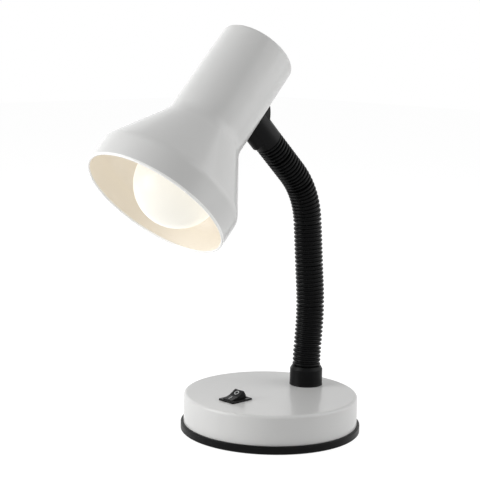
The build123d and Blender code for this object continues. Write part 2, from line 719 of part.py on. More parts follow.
def hose_length(number):
    """One length of hose, with its bore, its ribs and the lip that enters the next length."""
    stations = rib_stations(number * SEGMENT_L)
    if number == 0:
        stations = [(-HOSE_TAIL, HOSE_VALLEY_R)] + stations
    if number == SEGMENTS - 1:
        stations = stations + [(HOSE_L + HOSE_TAIL, HOSE_VALLEY_R)]
    ribs = neck_tube(stations)
    low, high = stations[0][0], stations[-1][0]
    bore = even_tube(low - HALF_GAP, high + HALF_GAP, RIBS_PER_SEGMENT, HOSE_BORE_R)
    joint = neck_side((number + 1) * SEGMENT_L)
    lip_low = sqrt(LIP_R**2 - HALF_GAP**2)
    lip_high = sqrt(LIP_R**2 - LIP_REACH**2)
    lip_root, lip_root_r = -HALF_GAP - LIP_ROOT_L, HOSE_BORE_R + LIP_ROOT_LAP
    with BuildPart() as piece:
        add(ribs)
        add(bore, mode=Mode.SUBTRACT)
        if number < SEGMENTS - 1:
            with BuildSketch(joint):
                with BuildLine():
                    ThreePointArc((lip_low, -HALF_GAP), (LIP_R, 0), (lip_high, LIP_REACH))
                    Polyline(
                        (lip_high, LIP_REACH), (LIP_BORE_R, LIP_REACH),
                        (LIP_BORE_R, lip_root), (lip_root_r, lip_root),
                        (lip_root_r, -HALF_GAP), (lip_low, -HALF_GAP),
                    )
                make_face()
            revolve(axis=own_axis(joint))
    return piece


socket_r = LIP_BORE_R - CORE_FIT
hollow_r = BALL_R + SOCKET_GAP
socket_mouth_r = sqrt(hollow_r**2 - SOCKET_REACH**2)
socket_side = on_circle(hollow_r, -45)
cone_foot = SOCKET_WALL - LIP_BORE_R - SOCKET_CONE
shoulder_r = HOSE_BORE_R + SHOULDER_LAP


def core_ball(number):
    """Ball in the socket of the core length below."""
    x, z, heading = neck_at(number * SEGMENT_L)
    with BuildPart() as ball:
        with Locations((x, 0, z)):
            Sphere(BALL_R)
    return ball.part


def core_socket(number):
    """Socket for the ball of the core length above."""
    joint = neck_side((number + 1) * SEGMENT_L)
    with BuildPart() as socket:
        with BuildSketch(joint):
            with BuildLine():
                ThreePointArc((socket_mouth_r, SOCKET_REACH), socket_side, (0, -hollow_r))
                Polyline(
                    (0, -hollow_r), (0, cone_foot), (CORE_R + CORE_LAP, cone_foot),
                    (socket_r, cone_foot + SOCKET_CONE), (socket_r, SOCKET_REACH),
                    (socket_mouth_r, SOCKET_REACH),
                )
            make_face()
        revolve(axis=own_axis(joint))
    return socket.part


def core_end(plane, thread_end, shoulder_foot, shoulder_top):
    """Threaded end of the core, with the shoulder that its collar sits on."""
    end = turned(plane, [
        (0, thread_end), (THREAD_R, thread_end), (THREAD_R, shoulder_foot),
        (shoulder_r, shoulder_foot), (shoulder_r, shoulder_top), (0, shoulder_top),
    ])
    return end.part


def core_length(number):
    """One length of the steel core: a ball in the last socket, a stem and the next socket."""
    low, high = number * SEGMENT_L, (number + 1) * SEGMENT_L
    bore_low, bore_high = low - BALL_R, high
    stem_low, stem_high = low, high + cone_foot + CORE_LAP
    if number == 0:
        seat = COVER_TOP + COLLAR_FLOOR
        lower = core_end(neck_foot, CORE_BOTTOM, seat, seat + SHOULDER_T)
        stem_low, bore_low = -HOSE_TAIL - CORE_LAP, CORE_BOTTOM - HOSE_START
    else:
        lower = core_ball(number)
    if number == SEGMENTS - 1:
        upper = core_end(neck_end, CORE_THREAD_END, UPPER_SEAT, UPPER_SEAT - SHOULDER_T)
        stem_high = HOSE_L + HOSE_TAIL + CORE_LAP
        bore_high = HOSE_L + NECK_COLLAR_L + CORE_THREAD_END
    else:
        upper = core_socket(number)
    stem = even_tube(stem_low, stem_high, CORE_STEPS, CORE_R)
    bore = even_tube(bore_low - CUT_RUN, bore_high + CUT_RUN, 2 * CORE_STEPS, CORE_BORE_R)
    with BuildPart() as piece:
        add([stem, lower, upper])
        add(bore, mode=Mode.SUBTRACT)
    return piece


# Neck: lengths of ribbed hose over lengths of steel core
UPPER_SEAT = HOSE_TAIL + SHOULDER_T - NECK_COLLAR_L
CORE_THREAD_END = SHADE_WALL + SADDLE_T + BRACKET_T + NUT_T + THREAD_SPARE
SEGMENT_NAMES = ["base"] + ["%02d" % k for k in range(1, SEGMENTS - 1)] + ["head"]
for number, segment in enumerate(SEGMENT_NAMES):
    finish(hose_length(number), "neck_hose_" + segment)
    finish(core_length(number), "neck_core_" + segment)


def shade_form(inset, mouth):
    """The shade's filled shape, drawn in from its skin by inset and cut off at the mouth."""
    cone = atan2(SHADE_BAND_R - SHADE_WAIST_R, SHADE_WAIST - SHADE_BAND_L)
    drop = inset * tan(cone / 2)
    band = (SHADE_BAND_R - inset, SHADE_BAND_L - drop)
    waist = (SHADE_WAIST_R - inset, SHADE_WAIST - drop)
    top = (SHADE_TOP_R - inset, SHADE_L - inset)
    with BuildPart() as form:
        with BuildSketch(head) as outline:
            with BuildLine():
                Polyline(
                    (0, mouth), (SHADE_MOUTH_R - inset, mouth), band, waist, top,
                    (0, SHADE_L - inset), close=True,
                )
            make_face()
            fillet(outline.vertices().sort_by_distance(band)[0], SHADE_BAND_FILLET - inset)
            fillet(outline.vertices().sort_by_distance(waist)[0], SHADE_WAIST_FILLET + inset)
            fillet(outline.vertices().sort_by_distance(top)[0], SHADE_TOP_FILLET - inset)
        revolve(axis=own_axis(head))
    return form.part


# Shade: spun steel with a rolled hem at its mouth
shade_skin = shade_form(0, HEM_R)
shade_hollow = shade_form(SHADE_WALL, -CUT_RUN)
neck_entry = neck_cross(HOSE_L + NECK_COLLAR_L)
with BuildPart() as shade:
    add(shade_skin)
    add(shade_hollow, mode=Mode.SUBTRACT)
    with BuildSketch(head):
        with Locations((SHADE_MOUTH_R - HEM_R, HEM_R)):
            Circle(HEM_R)
    revolve(axis=own_axis(head))
    with BuildSketch(neck_entry):
        Circle(thread_hole)
    extrude(amount=SADDLE_T, both=True, mode=Mode.SUBTRACT)
finish(shade, "shade")

# Upper collar: a plastic flange that leans against the shade, with a socket for the hose
neck_collar_r = HOSE_R + NECK_COLLAR_LIP
flange_top = -FLANGE_SHIFT - FLANGE_HALF_L
flange_bottom = FLANGE_HALF_L - FLANGE_SHIFT
flange_slope = tan(radians(FLANGE_LEAN))
collar_body = turned(neck_end, [
    (0, -NECK_COLLAR_L), (neck_collar_r, -NECK_COLLAR_L),
    (neck_collar_r + NECK_COLLAR_FLARE, 0), (neck_collar_r + NECK_COLLAR_FLARE, FLANGE_LAP),
    (0, FLANGE_LAP),
])
collar_bore = turned(neck_end, [
    (0, -NECK_COLLAR_L - CUT_RUN), (tail_bore, -NECK_COLLAR_L - CUT_RUN), (tail_bore, UPPER_SEAT),
    (thread_hole, UPPER_SEAT), (thread_hole, FLANGE_LAP + CUT_RUN), (0, FLANGE_LAP + CUT_RUN),
])
with BuildPart() as saddle_collar:
    with BuildSketch(neck_end):
        with BuildLine():
            Polyline(
                (flange_top, FLANGE_LAP), (flange_top, -FLANGE_T - flange_slope * flange_top),
                (flange_bottom, -FLANGE_T - flange_slope * flange_bottom), (flange_bottom, FLANGE_LAP),
                close=True,
            )
        make_face()
    extrude(amount=FLANGE_HALF_W + CUT_RUN, both=True)
    with BuildSketch(neck_entry):
        with Locations((0, FLANGE_SHIFT)):
            Ellipse(FLANGE_HALF_W, FLANGE_HALF_L)
    extrude(amount=NECK_COLLAR_L, both=True, mode=Mode.INTERSECT)
    add(collar_body.part)
    add(collar_bore.part, mode=Mode.SUBTRACT)
    add(shade_skin, mode=Mode.SUBTRACT)
finish(saddle_collar, "upper_collar")

# Inner saddle between the shade's curved wall and the flat bracket
with BuildPart() as inner_saddle:
    with BuildSketch(neck_entry):
        Circle(SADDLE_R)
        Circle(thread_hole, mode=Mode.SUBTRACT)
    extrude(amount=SHADE_WALL + SADDLE_T)
    add(shade_hollow, mode=Mode.INTERSECT)
finish(inner_saddle, "inner_saddle")

# Holder bracket: a bent steel strip from the neck's nut to the top of the lampholder
bracket_x = SHADE_WALL + SADDLE_T + BRACKET_T / 2 - SHADE_R_AT_NECK
tilt = radians(HOLDER_TILT)
bracket_mid = HOLDER_PIVOT + BRACKET_T / 2 / cos(tilt)
bracket_bend = (bracket_x, bracket_mid - bracket_x * tan(tilt))
bracket_tip = (BRACKET_END, bracket_mid - BRACKET_END * tan(tilt))
lead_x = CORE_THREAD_END + LEAD_STEP - SHADE_R_AT_NECK
holder_cross = Plane(origin=holder.origin, x_dir=(0, 1, 0), z_dir=holder.y_dir)
with BuildPart() as holder_bracket:
    with BuildSketch(head):
        with BuildLine():
            FilletPolyline(
                (bracket_x, NECK_MEETS - BRACKET_TAIL), bracket_bend, bracket_tip,
                radius=BRACKET_BEND_R,
            )
        trace(line_width=BRACKET_T)
    extrude(amount=BRACKET_W / 2, both=True)
    with BuildSketch(neck_entry):
        Circle(thread_hole)
    extrude(amount=CORE_THREAD_END, mode=Mode.SUBTRACT)
    with BuildSketch(holder_cross):
        Circle(thread_hole)
        with Locations((0, -lead_x)):
            Circle(LEAD_HOLE_R)
    extrude(amount=2 * BRACKET_T, both=True, mode=Mode.SUBTRACT)
finish(holder_bracket, "holder_bracket")

# Nuts on the core's upper end and on the lampholder's nipple
head_nuts = hex_nuts((neck_end, SHADE_WALL + SADDLE_T + BRACKET_T), (holder, BRACKET_T))
finish(head_nuts, "head_nuts")

holder_nipple = turned(holder, [
    (NIPPLE_BORE_R, NIPPLE_END), (THREAD_R, NIPPLE_END), (THREAD_R, NIPPLE_TOP),
    (NIPPLE_BORE_R, NIPPLE_TOP),
])
finish(holder_nipple, "holder_nipple")

# Lampholder, its radii worked out from the bulb's cap and its heights from the dome's foot
SHELL_BORE_R = CAP_R + SHELL_FIT
SHELL_R = SHELL_BORE_R + SHELL_WALL
INSERT_R = SHELL_R + SKIRT_LAP
SKIRT_R = INSERT_R + SKIRT_WALL
SKIRT_BORE_R = SHELL_R + SKIRT_GAP
DOME_R = SKIRT_R - SKIRT_STEP
DOME_END = -DOME_L
INSERT_TOP = DOME_END + INSERT_RISE
INSERT_END = DOME_END - INSERT_T
TIP_TOP = INSERT_END - CONTACT_L
CAP_TOP = TIP_TOP - TIP_H
BULB_COLLAR_TOP = CAP_TOP - CAP_LAND - CAP_CROWN - CAP_TURNS * CAP_PITCH
SKIRT_END = BULB_COLLAR_TOP + BULB_GAP
SHELL_END = SKIRT_END + SHELL_SHORT

holder_dome = turned(holder, [
    (THREAD_R + CORE_FIT, 0), (DOME_TOP_R, 0), (DOME_R, DOME_END), (DOME_R - DOME_WALL, DOME_END),
    (DOME_TOP_R - DOME_WALL, -DOME_WALL), (THREAD_R + CORE_FIT, -DOME_WALL),
])
finish(holder_dome, "holder_dome")

insert_neck_r = INSERT_R - INSERT_STEP
holder_insert = turned(holder, [
    (CONTACT_R, INSERT_TOP), (insert_neck_r, INSERT_TOP), (insert_neck_r, DOME_END),
    (INSERT_R, DOME_END), (INSERT_R, INSERT_END), (CONTACT_R, INSERT_END),
])
finish(holder_insert, "holder_insert")

holder_skirt = turned(holder, [
    (INSERT_R + COLLAR_FIT, DOME_END), (SKIRT_R, DOME_END), (SKIRT_R, SKIRT_END + SKIRT_CHAMFER),
    (SKIRT_R - SKIRT_CHAMFER, SKIRT_END), (SKIRT_BORE_R, SKIRT_END), (SKIRT_BORE_R, SHELL_END),
    (SHELL_R + CORE_FIT, SHELL_END), (SHELL_R + CORE_FIT, INSERT_END),
    (INSERT_R + COLLAR_FIT, INSERT_END),
])
finish(holder_skirt, "holder_skirt")

holder_shell = turned(holder, [
    (SHELL_BORE_R, SHELL_END), (SHELL_R, SHELL_END), (SHELL_R, INSERT_END),
    (SHELL_HOLE_R, INSERT_END), (SHELL_HOLE_R, INSERT_END - SHELL_WALL),
    (SHELL_BORE_R, INSERT_END - SHELL_WALL),
])
finish(holder_shell, "holder_shell")

holder_contact = turned(holder, [
    (0, INSERT_TOP + CONTACT_STAND), (CONTACT_R, INSERT_TOP + CONTACT_STAND),
    (CONTACT_R, INSERT_END), (CONTACT_LEAF_R, INSERT_END),
    (CONTACT_LEAF_R, INSERT_END - CONTACT_LEAF_T), (CONTACT_R, TIP_TOP + CONTACT_GAP),
    (0, TIP_TOP + CONTACT_GAP),
])
finish(holder_contact, "holder_contact")

# Leads in the head, from the neck up over the bracket and down into the lampholder
lead_start = CORE_THREAD_END - LEAD_TUCK - SHADE_R_AT_NECK
lead_top = HOLDER_PIVOT + LEAD_LOOP
nipple_x = NIPPLE_TOP * sin(tilt)
lead_corners = [
    (lead_start, NECK_MEETS), (lead_x, NECK_MEETS), (lead_x, lead_top),
    (nipple_x, lead_top), (nipple_x, HOLDER_PIVOT + NIPPLE_TOP - LEAD_TUCK),
]
head_runs = []
for side in (-1, 1):
    places = [head.from_local_coords((x, y, side * LEAD_SPREAD)) for x, y in lead_corners]
    head_runs.append(lead(places, LEAD_BEND_R))
with BuildPart() as head_leads:
    add(head_runs)
finish(head_leads, "head_leads")


# Bulb: opal globe, plastic collar, screw cap and tip
globe_bore = GLOBE_R - GLOBE_WALL
neck_in_r = BULB_COLLAR_END_R - GLOBE_WALL
BULB_COLLAR_END = BULB_COLLAR_TOP - BULB_COLLAR_L
GLOBE_Y = BULB_COLLAR_END - sqrt(GLOBE_R**2 - BULB_COLLAR_END_R**2)


def globe_point(radius, x):
    return x, GLOBE_Y + sqrt(radius**2 - x**2)


with BuildPart() as bulb_globe:
    with BuildSketch(holder):
        with BuildLine():
            ThreePointArc(
                globe_point(GLOBE_R, BULB_COLLAR_END_R), (GLOBE_R, GLOBE_Y), (0, GLOBE_Y - GLOBE_R)
            )
            Line((0, GLOBE_Y - GLOBE_R), (0, GLOBE_Y - globe_bore))
            ThreePointArc(
                (0, GLOBE_Y - globe_bore), (globe_bore, GLOBE_Y), globe_point(globe_bore, neck_in_r)
            )
            Line(globe_point(globe_bore, neck_in_r), globe_point(GLOBE_R, BULB_COLLAR_END_R))
        make_face()
    revolve(axis=own_axis(holder))
finish(bulb_globe, "bulb_globe")

cap_root_r = CAP_R - CAP_DEPTH
collar_floor = BULB_COLLAR_END + BULB_COLLAR_WALL
bulb_collar = turned(holder, [
    (cap_root_r, BULB_COLLAR_TOP), (cap_root_r + BULB_COLLAR_WALL, BULB_COLLAR_TOP),
    (BULB_COLLAR_END_R, BULB_COLLAR_END), (0, BULB_COLLAR_END), (0, collar_floor),
    (BULB_COLLAR_END_R - 2 * BULB_COLLAR_WALL, collar_floor),
    (cap_root_r, BULB_COLLAR_TOP - BULB_COLLAR_WALL),
])
finish(bulb_collar, "bulb_collar")

cap_threads = []
for turn in range(CAP_TURNS):
    crest = BULB_COLLAR_TOP + (turn + 0.5) * CAP_PITCH
    cap_threads += [
        (cap_root_r, crest - CAP_PITCH / 2 + CAP_WALL), (CAP_R, crest - CAP_WALL),
        (CAP_R, crest + CAP_WALL),
    ]
cap_bore = cap_root_r - CAP_WALL
bulb_cap = turned(
    holder,
    [(cap_bore, BULB_COLLAR_TOP), (cap_root_r, BULB_COLLAR_TOP)] + cap_threads + [
        (cap_root_r, CAP_TOP - CAP_LAND), (TIP_LAND_R, CAP_TOP),
        (TIP_LAND_R - CAP_WALL, CAP_TOP - CAP_WALL), (cap_bore, CAP_TOP - CAP_LAND - CAP_WALL),
    ],
)
finish(bulb_cap, "bulb_cap")

bulb_tip = turned(holder, [
    (0, CAP_TOP - CAP_WALL), (TIP_LAND_R - CAP_WALL, CAP_TOP - CAP_WALL), (TIP_LAND_R, CAP_TOP),
    (TIP_R, TIP_TOP - TIP_BEVEL_H), (TIP_R - TIP_BEVEL_R, TIP_TOP), (0, TIP_TOP),
])
finish(bulb_tip, "bulb_tip")
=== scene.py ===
"""Looks of the table lamp: smooth meshes, finishes, studio light and camera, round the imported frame.

The lamp's lengths are written in millimetres, as they are measured, and turned into metres where they
are used. The studio's are in metres.
"""

import json
from math import acos, cos, pi, radians, sin, sqrt, tan

import bmesh
import bpy
from mathutils import Matrix, Vector


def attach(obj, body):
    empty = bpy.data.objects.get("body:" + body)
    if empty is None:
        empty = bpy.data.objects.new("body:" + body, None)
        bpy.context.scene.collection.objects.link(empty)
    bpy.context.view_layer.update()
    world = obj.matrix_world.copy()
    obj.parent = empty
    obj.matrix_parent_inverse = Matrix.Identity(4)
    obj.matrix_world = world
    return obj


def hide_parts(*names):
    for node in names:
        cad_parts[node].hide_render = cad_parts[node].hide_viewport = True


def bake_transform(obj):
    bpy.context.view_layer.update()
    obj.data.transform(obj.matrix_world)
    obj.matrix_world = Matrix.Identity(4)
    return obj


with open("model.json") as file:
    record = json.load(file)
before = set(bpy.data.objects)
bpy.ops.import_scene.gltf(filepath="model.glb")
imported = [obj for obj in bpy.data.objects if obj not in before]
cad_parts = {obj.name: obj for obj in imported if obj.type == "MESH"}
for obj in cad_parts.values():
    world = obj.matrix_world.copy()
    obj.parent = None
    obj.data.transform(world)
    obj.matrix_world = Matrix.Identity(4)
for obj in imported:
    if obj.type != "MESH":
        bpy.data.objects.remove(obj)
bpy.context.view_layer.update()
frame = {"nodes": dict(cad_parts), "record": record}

MM = 0.001

# Neck, as in the part
NECK_X = -44.2
COVER_TOP = 32.2
COLLAR_H = 16.7
NECK_BENDS = [           # length of each stretch and its turn in degrees
    (16.0, -5.0), (16.0, 0.0), (40.0, 10.9), (36.0, -1.2), (22.0, 1.8), (47.0, 40.5)]
RIB_PITCH = 3.64
RIBS_PER_SEGMENT = 5
SEGMENTS = 12
HOSE_R = 12.2
HOSE_VALLEY_R = 10.7
HOSE_BORE_R = 8.9
RIB_HALF = 1.25
NECK_COLLAR_L = 27.4
SEGMENT_L = RIBS_PER_SEGMENT * RIB_PITCH
HOSE_L = SEGMENTS * SEGMENT_L

# Hose pieces, in the scene alone
HOSE_TUCK = 2.0          # how far the hose goes on inside each collar
RIBS_BENDING = 2         # ribs on each side of a swaying joint
END_RIB_HALF = 0.88      # half width of a rib on its side towards a bending joint
TONGUE_R = 9.95          # sleeve that closes the valley over a bending joint
TONGUE_L = 2.6
RECESS_R = 10.5          # room for that sleeve in the next piece
RECESS_L = 4.5

# Base cover, as in the part
COVER_R = 74.0
COVER_SEAT = 4.0
COVER_WALL = 1.0
COVER_EDGE_R = 2.6
NECK_HOLE_R = 5.1
SWITCH_PLACE = (40.0, -2.0)
SWITCH_HOLE = (19.6, 13.6)
GLAND_PLACE = (-74.0, 16.0)
GLAND_HOLE_R = 5.0

# Shade, as in the part: radius and distance from the mouth
SHADE_MOUTH_R = 60.8
SHADE_BAND = (61.4, 22.3)
SHADE_WAIST = (32.9, 72.8)
SHADE_TOP = (32.4, 160.0)
SHADE_WALL = 0.8
SHADE_COAT = 0.4         # inner part of the wall, in its own finish, with the bulb's warm light painted on it
LINING_GAP = 0.01        # between the two finishes, so that their faces don't coincide
SHADE_FILLETS = (14.0, 24.0, 2.5)    # at the band, the waist and the top
HEM_R = 0.9
HEM_START = 95           # where the hem's arc leaves the inside of the wall, in degrees
HEM_TURN = 265
NECK_MEETS = 116.1       # distance of the neck's end from the mouth

# Bulb, as in the part
HOLDER_PIVOT = 128.0
HOLDER_TILT = 4.5
GLOBE_R = 35.0
GLOBE_WALL = 1.2
GLOBE_DOWN = 101.0       # globe's middle below the holder's bracket
GLOBE_END_R = 21.0

# Camera, from the photograph
CAMERA_AT = (827.9, 798.2, 342.8)
CAMERA_LOOK = (-0.693992, -0.703259, -0.15430)
CAMERA_ROLL = 1.1
CAMERA_LENS = 103.87
CAMERA_CLIP = (0.05, 30)     # in metres

# Fineness of the meshes
HOSE_STEPS = 96
CREST_STEPS = 8          # even, so that a point lies on the crest
LATHE_STEPS = 160
COVER_STEPS = 192
HOLE_STEPS = 48
GLOBE_STEPS = 48
HEM_STEPS = 14
FILLET_STEPS = 14
SHADE_RUN = 6            # longest straight run of an outline
COVER_RUN = 8
EDGE_BAND = 0.4          # close step beside each corner, so that flat parts shade flat
SHARP_ANGLE = 40
DRILL_DEPTH = 6
GLAND_DRILL_DEPTH = 8
NECK_DRILL_DEPTH = 12
ON_AXIS = 0.001          # radius below which an outline's point is a single one

# Finishes
BROAD_SCALE = 18.0       # slow wander of colour and roughness, per metre
BROAD_DETAIL = 3.0
FINE_DETAIL = 2.0
BUMP_DEPTH = 0.0002      # in metres
OPAL_GLOW = 0.66
# painted light: the lining's glow stands in for the bulb's light falling on it
LINING_PAINTED_BULB_LIGHT = 0.21
# painted highlight: the hem's glow
HEM_PAINTED_HIGHLIGHT = 0.12

# Studio, in metres
WORLD_FILL = 0.25
SOFTBOXES = {            # place, and power in watts
    "left_box": ((1.10, -0.62, 0.62), 16.3),
    "right_box": ((-0.50, 1.15, 0.70), 5.6),
    "right_edge_box": ((-1.05, 0.76, 0.50), 5.6),
    "left_edge_box": ((-0.35, -1.25, 0.55), 1.6),
}
SOFTBOX_SIZE = (0.9, 1.4)
LAMP_MIDDLE = (0.03, 0.0, 0.17)
FLOOR_HALF = 4.0
FLOOR_COLOUR = 0.82      # floor as it lights the object
FLOOR_SEEN = 0.3         # floor as the camera sees it, on top of its lift
FLOOR_LIFT = 0.91
FLOOR_ROUGH = 0.9
SEEN_RAYS = ("Is Camera Ray", "Is Glossy Ray", "Is Transmission Ray")


def neck_at(s):
    """Place on the neck's centre line, s from the lower collar: x, z, heading from vertical."""
    x, z, heading = NECK_X, COVER_TOP + COLLAR_H, 0.0
    if s < 0:
        return x, z + s, heading
    for length, turn in NECK_BENDS:
        step = min(s, length)
        after = heading + radians(turn) * step / length
        if turn:
            bend_r = length / radians(turn)
            x += bend_r * (cos(heading) - cos(after))
            z += bend_r * (sin(after) - sin(heading))
        else:
            x += step * sin(heading)
            z += step * cos(heading)
        heading = after
        s -= step
        if s <= 0:
            return x, z, heading
    return x + s * sin(heading), z + s * cos(heading), heading


def neck_point(s):
    """Place on the neck's centre line in metres."""
    x, z, _ = neck_at(s)
    return Vector((x, 0, z)) * MM


def neck_ring(s, radius):
    """Points round the neck at s, in metres."""
    x, z, heading = neck_at(s)
    across = Vector((cos(heading), 0, -sin(heading)))
    middle = Vector((x, 0, z))
    points = []
    for k in range(HOSE_STEPS):
        turn = 2 * pi * k / HOSE_STEPS
        place = middle + across * radius * cos(turn) + Vector((0, radius * sin(turn), 0))
        points.append(place * MM)
    return points


def new_piece(name, mesh):
    piece = bpy.data.objects.new(name, mesh)
    bpy.context.scene.collection.objects.link(piece)
    return piece


def smooth(mesh):
    """Smooth shading, with sharp edges left crisp."""
    bm = bmesh.new()
    bm.from_mesh(mesh)
    bmesh.ops.recalc_face_normals(bm, faces=bm.faces)
    for face in bm.faces:
        face.smooth = True
    for edge in bm.edges:
        edge.smooth = len(edge.link_faces) != 2 or edge.calc_face_angle() < radians(SHARP_ANGLE)
    bm.to_mesh(mesh)
    bm.free()


def ring_mesh(name, rings, closed):
    """Mesh of quads between rings of points, joined end to end if closed."""
    count = len(rings[0])
    points = [p for ring in rings for p in ring]
    faces = []
    for i in range(len(rings) if closed else len(rings) - 1):
        low, high = i * count, (i + 1) % len(rings) * count
        for k in range(count):
            after = (k + 1) % count
            faces.append((low + k, low + after, high + after, high + k))
    mesh = bpy.data.meshes.new(name)
    mesh.from_pydata(points, [], faces)
    smooth(mesh)
    return mesh


def side_frame(x, z, heading):
    """Origin, outward way and upward way of a plane across the lamp, in millimetres."""
    return (Vector((x, 0, z)), Vector((cos(heading), 0, -sin(heading))),
            Vector((sin(heading), 0, cos(heading))))


def on_frame(plane, out, up):
    """Place on such a plane."""
    return plane[0] + plane[1] * out + plane[2] * up


def head_frame():
    """The shade's mouth and axis, from where the neck meets its skin."""
    end = side_frame(*neck_at(HOSE_L + NECK_COLLAR_L))
    taper = (SHADE_WAIST[0] - SHADE_TOP[0]) / (SHADE_TOP[1] - SHADE_WAIST[1])
    skin_r = SHADE_WAIST[0] - taper * (NECK_MEETS - SHADE_WAIST[1])
    mouth = on_frame(end, NECK_MEETS, skin_r)
    return side_frame(mouth.x, mouth.z, neck_at(HOSE_L)[2] - pi / 2)


def holder_frame(head):
    """The lampholder's axis, tilted a little from the shade's."""
    pivot = on_frame(head, 0, HOLDER_PIVOT)
    heading = neck_at(HOSE_L)[2] - pi / 2 + radians(HOLDER_TILT)
    return side_frame(pivot.x, pivot.z, heading)


def rounded(corners, radii):
    """An outline with its inner corners rounded, one radius for each."""
    points = [Vector(corners[0])]
    for before, corner, after, radius in zip(corners, corners[1:], corners[2:], radii):
        if not radius:
            points.append(Vector(corner))
            continue
        here = Vector(corner)
        back = (Vector(before) - here).normalized()
        on = (Vector(after) - here).normalized()
        half = acos(max(-1, min(1, back.dot(on)))) / 2
        middle = here + (back + on).normalized() * radius / sin(half)
        reach = radius / tan(half)
        first, last = here + back * reach - middle, here + on * reach - middle
        spread = pi - 2 * half
        for k in range(FILLET_STEPS + 1):
            share = k / FILLET_STEPS
            turned = (first * sin((1 - share) * spread) + last * sin(share * spread)) / sin(spread)
            points.append(middle + turned)
    points.append(Vector(corners[-1]))
    return points


def banded(points, longest):
    """The outline with its long runs divided, and a close step beside each of its points."""
    result = []
    for here, after in zip(points, points[1:]):
        result.append(here)
        run = (after - here).length
        if run > longest:
            count = int(run / longest) + 1
            edge = min(EDGE_BAND, run / (4 * count))
            result.append(here.lerp(after, edge / run))
            result += [here.lerp(after, k / count) for k in range(1, count)]
            result.append(after.lerp(here, edge / run))
    result.append(points[-1])
    return result


def lathe(name, plane, outline, steps=LATHE_STEPS):
    """A closed turned mesh: outline points are radius and height on the plane, in millimetres."""
    bm = bmesh.new()
    rings = []
    for radius, height in outline:
        if radius < ON_AXIS:
            rings.append([bm.verts.new(on_frame(plane, 0, height) * MM)])
            continue
        ring = []
        for k in range(steps):
            turn = 2 * pi * k / steps
            place = on_frame(plane, radius * cos(turn), height) + Vector((0, radius * sin(turn), 0))
            ring.append(bm.verts.new(place * MM))
        rings.append(ring)
    loops = list(zip(rings, rings[1:]))
    if len(rings[0]) > 1:
        loops.append((rings[-1], rings[0]))
    for low, high in loops:
        for k in range(steps):
            after = (k + 1) % steps
            if len(low) == 1:
                bm.faces.new((low[0], high[after], high[k]))
            elif len(high) == 1:
                bm.faces.new((low[k], low[after], high[0]))
            else:
                bm.faces.new((low[k], low[after], high[after], high[k]))
    mesh = bpy.data.meshes.new(name)
    bm.to_mesh(mesh)
    bm.free()
    smooth(mesh)
    return new_piece(name, mesh)


def drill(piece, place, axis, size, square=False):
    """Cuts a round or rectangular hole through a piece: place and size in millimetres."""
    bm = bmesh.new()
    if square:
        bmesh.ops.create_cube(bm, size=1)
    else:
        bmesh.ops.create_cone(
            bm, cap_ends=True, segments=HOLE_STEPS, radius1=0.5, radius2=0.5, depth=1)
    bmesh.ops.scale(bm, vec=Vector(size) * MM, verts=bm.verts)
    mesh = bpy.data.meshes.new("drill")
    bm.to_mesh(mesh)
    bm.free()
    cutter = new_piece("drill", mesh)
    cutter.rotation_mode = "QUATERNION"
    cutter.location = Vector(place) * MM
    cutter.rotation_quaternion = Vector(axis).to_track_quat("Z", "Y")
    cut = piece.modifiers.new("drill", "BOOLEAN")
    cut.operation = "DIFFERENCE"
    cut.solver = "EXACT"
    cut.object = cutter
    bpy.context.view_layer.update()
    seen = piece.evaluated_get(bpy.context.evaluated_depsgraph_get())
    result = bpy.data.meshes.new_from_object(seen)
    piece.modifiers.clear()
    piece.data = result
    bpy.data.objects.remove(cutter)
    smooth(result)


# Node materials

def start_material(name):
    material = bpy.data.materials.new(name)
    material.use_nodes = True
    nodes = material.node_tree.nodes
    return material, nodes, material.node_tree.links, nodes["Principled BSDF"]


def add_noise(nodes, links, scale, detail):
    """Noise in the object's own metres."""
    place = nodes.new("ShaderNodeTexCoord")
    noise = nodes.new("ShaderNodeTexNoise")
    noise.inputs["Scale"].default_value = scale
    noise.inputs["Detail"].default_value = detail
    links.new(place.outputs["Object"], noise.inputs["Vector"])
    return noise


def finish_material(name, colour, tint, rough, grain, bump, metallic=0.0, coat=0.0, specular=0.5,
                    coat_rough=0.06):
    """A surface whose colour and roughness wander a little, with a fine bump.

    colour and tint are its two close colours, rough its least and greatest roughness, grain the
    bump's scale per metre and bump its strength.
    """
    material, nodes, links, shader = start_material(name)
    broad = add_noise(nodes, links, BROAD_SCALE, BROAD_DETAIL)
    mix = nodes.new("ShaderNodeMix")
    mix.data_type = "RGBA"
    mix.inputs["A"].default_value = (*colour, 1)
    mix.inputs["B"].default_value = (*tint, 1)
    links.new(broad.outputs["Fac"], mix.inputs["Factor"])
    links.new(mix.outputs["Result"], shader.inputs["Base Color"])
    spread = nodes.new("ShaderNodeMapRange")
    spread.inputs["To Min"].default_value = rough[0]
    spread.inputs["To Max"].default_value = rough[1]
    links.new(broad.outputs["Fac"], spread.inputs["Value"])
    links.new(spread.outputs["Result"], shader.inputs["Roughness"])
    fine = add_noise(nodes, links, grain, FINE_DETAIL)
    relief = nodes.new("ShaderNodeBump")
    relief.inputs["Strength"].default_value = bump
    relief.inputs["Distance"].default_value = BUMP_DEPTH
    links.new(fine.outputs["Fac"], relief.inputs["Height"])
    links.new(relief.outputs["Normal"], shader.inputs["Normal"])
    shader.inputs["Metallic"].default_value = metallic
    shader.inputs["Specular IOR Level"].default_value = specular
    shader.inputs["Coat Weight"].default_value = coat
    shader.inputs["Coat Roughness"].default_value = coat_rough
    return material


def glow(material, colour, strength):
    """The same material with a light of its own: the bulb's glow, and painted light on the shade's
    lining and hem.
    """
    shader = material.node_tree.nodes["Principled BSDF"]
    shader.inputs["Emission Color"].default_value = (*colour, 1)
    shader.inputs["Emission Strength"].default_value = strength
    return material


